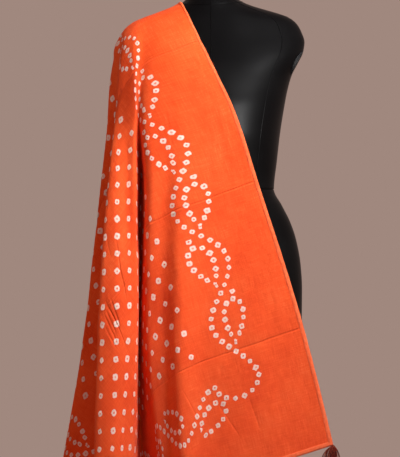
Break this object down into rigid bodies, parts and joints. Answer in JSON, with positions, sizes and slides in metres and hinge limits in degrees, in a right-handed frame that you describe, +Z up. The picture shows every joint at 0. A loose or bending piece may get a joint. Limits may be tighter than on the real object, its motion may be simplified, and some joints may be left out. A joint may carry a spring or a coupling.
{
  "type": "dupatta stole on a dress form",
  "caption": "Cotton dupatta stole with tasselled corners, draped over one shoulder of a limbless dress form that stands on a round base.",
  "frame": {"origin": "middle of the underside of the stand's base, on the floor", "axes": "+Z up, -Y the way the dress form faces, -X the side whose shoulder carries the cloth"},
  "size_m": [0.5686, 0.4582, 1.616],
  "materials": {
    "orange_cotton": "plain weave cotton, tie-dyed in small white rings",
    "maroon_thread": "loose cotton thread",
    "black_jersey": "stretched black jersey",
    "black_plate": "matte",
    "black_steel": "satin black paint"
  },
  "bodies": {
    "root": {"stole_front": "orange_cotton", "stole_shoulder": "orange_cotton", "stole_back": "orange_cotton", "tassel_front_inner": "maroon_thread", "tassel_front_outer": "maroon_thread", "tassel_back_inner": "maroon_thread", "tassel_back_outer": "maroon_thread", "form_torso": "black_jersey", "form_hips": "black_jersey", "form_neck_cap": "black_plate", "arm_plate_left": "black_plate", "arm_plate_right": "black_plate", "stand_collar": "black_steel", "stand_pole": "black_steel", "stand_base": "black_steel"}
  },
  "joints": []
}
